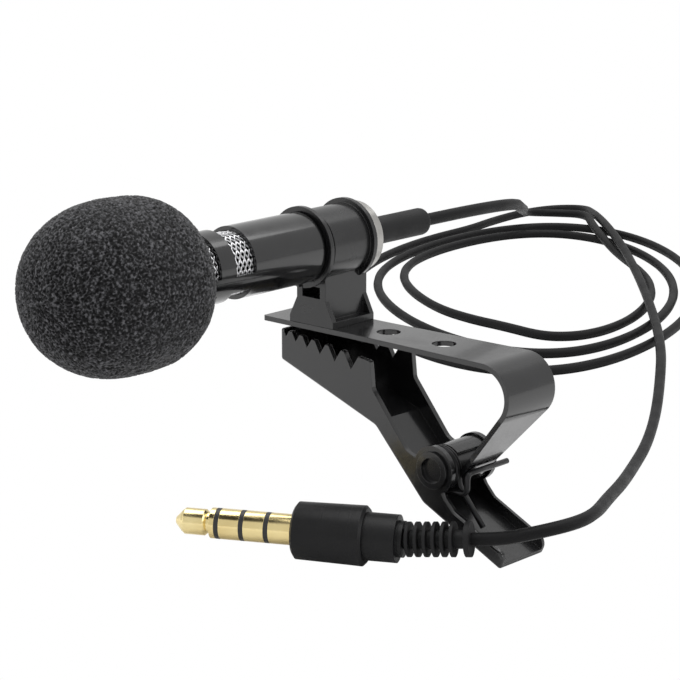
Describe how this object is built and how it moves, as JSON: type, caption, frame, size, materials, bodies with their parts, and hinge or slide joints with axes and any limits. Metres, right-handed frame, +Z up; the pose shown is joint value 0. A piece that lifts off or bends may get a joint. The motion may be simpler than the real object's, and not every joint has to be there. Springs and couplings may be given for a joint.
{
  "type": "lavalier microphone",
  "caption": "Black clip-on lavalier microphone: foam windscreen on a slotted barrel held in a spring clip, with a loosely coiled thin cord and a gold-plated pole plug.",
  "frame": {"origin": "middle of the clip's bite, on the underside of the upper jaw's plate", "axes": "+X along the clip from its front tip to its bend, +Y along the microphone from its windscreen to its cord, +Z up, away from the lower jaw"},
  "size_m": [0.1378, 0.214, 0.0423],
  "materials": {
    "clip_steel": "glossy black lacquer on bent steel",
    "spring_wire": "blackened spring wire",
    "holder_plastic": "moulded, glossy",
    "barrel_lacquer": "glossy black lacquer",
    "silver_mesh": "expanded mesh, bright",
    "capsule_metal": "drawn can, satin",
    "gasket_rubber": "matte",
    "board": "solder resist",
    "lead_insulation": "smooth insulation",
    "end_ring_metal": "turned, satin",
    "relief_rubber": "matte moulded",
    "foam": "open-cell foam",
    "gold_plate": "polished gold plating",
    "insulator_plastic": "moulded",
    "housing_plastic": "satin black, fine rings",
    "cord_jacket": "matte jacket"
  },
  "bodies": {
    "clip": {"upper_jaw": "clip_steel", "pivot_rivet": "clip_steel", "torsion_spring": "spring_wire", "mic_holder": "holder_plastic", "holder_rivet": "clip_steel", "cord_mic_lead": "cord_jacket", "cord_coil": "cord_jacket", "cord_plug_lead": "cord_jacket", "plug_tip": "gold_plate", "plug_ring_first": "gold_plate", "plug_ring_second": "gold_plate", "plug_sleeve": "gold_plate", "plug_insulators": "insulator_plastic", "plug_housing": "housing_plastic", "plug_boot": "relief_rubber"},
    "lower_jaw": {"jaw_lever": "clip_steel"},
    "microphone": {"mic_barrel": "barrel_lacquer", "window_mesh": "silver_mesh", "front_grille": "silver_mesh", "electret_capsule": "capsule_metal", "capsule_gasket": "gasket_rubber", "capsule_board": "board", "inner_leads": "lead_insulation", "cord_anchor": "gasket_rubber", "end_ring": "end_ring_metal", "mic_strain_relief": "relief_rubber"},
    "windscreen": {"windscreen": "foam"}
  },
  "joints": [
    {"name": "jaw_hinge", "type": "hinge", "parent": "clip", "child": "lower_jaw", "pos_m": [0.01655, 0, -0.013], "axis": [0, -1, 0], "range_deg": [0, 15], "stiffness_Nm_per_rad": 0.09, "springref_deg": -34.38, "deforming": ["torsion_spring"]},
    {"name": "microphone_turn", "type": "hinge", "parent": "clip", "child": "microphone", "pos_m": [-0.00245, 0, 0.0101], "axis": [0, 1, 0], "range_deg": [-90, 90]},
    {"name": "windscreen_slide", "type": "slide", "parent": "microphone", "child": "windscreen", "axis": [0, -1, 0], "range_m": [0, 0.016]}
  ]
}
